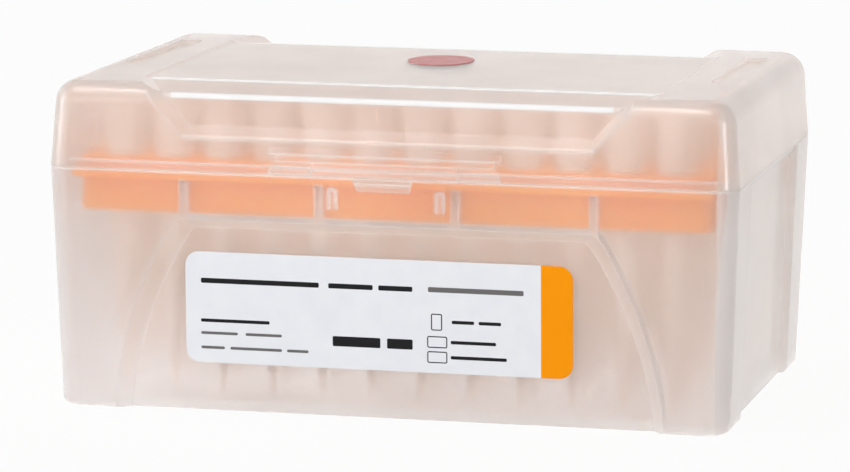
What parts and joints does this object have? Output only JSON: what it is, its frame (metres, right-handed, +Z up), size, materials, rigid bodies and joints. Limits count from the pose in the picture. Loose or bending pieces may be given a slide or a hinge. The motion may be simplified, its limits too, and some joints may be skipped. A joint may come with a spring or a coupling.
{
  "type": "pipette tip box",
  "caption": "Frosted hinged rack box with an orange tray that holds a full grid of filter pipette tips.",
  "frame": {"origin": "middle of the tub's flat underside, on the surface it stands on", "axes": "+Z up; +X along the long side, to the right when the latch tab is faced; +Y from the latch tab to the hinge"},
  "size_m": [0.123, 0.0884, 0.058],
  "materials": {
    "frosted_shell": "frosted translucent polypropylene, fine matt texture",
    "orange_tray": "opaque orange-red polypropylene, satin",
    "clear_tip": "natural polypropylene, milky and see-through",
    "porous_filter": "sintered white polyethylene, porous",
    "paper_label": "coated white paper with an amber end stripe",
    "indicator_film": "faded pinkish-red adhesive film"
  },
  "bodies": {
    "box": {"base_tub": "frosted_shell", "tip_tray": "orange_tray", "front_label": "paper_label", "tip_column_01": "clear_tip", "tip_column_02": "clear_tip", "tip_column_03": "clear_tip", "tip_column_04": "clear_tip", "tip_column_05": "clear_tip", "tip_column_06": "clear_tip", "tip_column_07": "clear_tip", "tip_column_08": "clear_tip", "tip_column_09": "clear_tip", "tip_column_10": "clear_tip", "tip_column_11": "clear_tip", "tip_column_12": "clear_tip", "filter_column_01": "porous_filter", "filter_column_02": "porous_filter", "filter_column_03": "porous_filter", "filter_column_04": "porous_filter", "filter_column_05": "porous_filter", "filter_column_06": "porous_filter", "filter_column_07": "porous_filter", "filter_column_08": "porous_filter", "filter_column_09": "porous_filter", "filter_column_10": "porous_filter", "filter_column_11": "porous_filter", "filter_column_12": "porous_filter"},
    "lid": {"lid": "frosted_shell", "indicator_sticker": "indicator_film"}
  },
  "joints": [
    {"name": "lid_hinge", "type": "hinge", "parent": "box", "child": "lid", "pos_m": [0, 0.0436, 0.0428], "axis": [-1, 0, 0], "range_deg": [0, 110]}
  ]
}
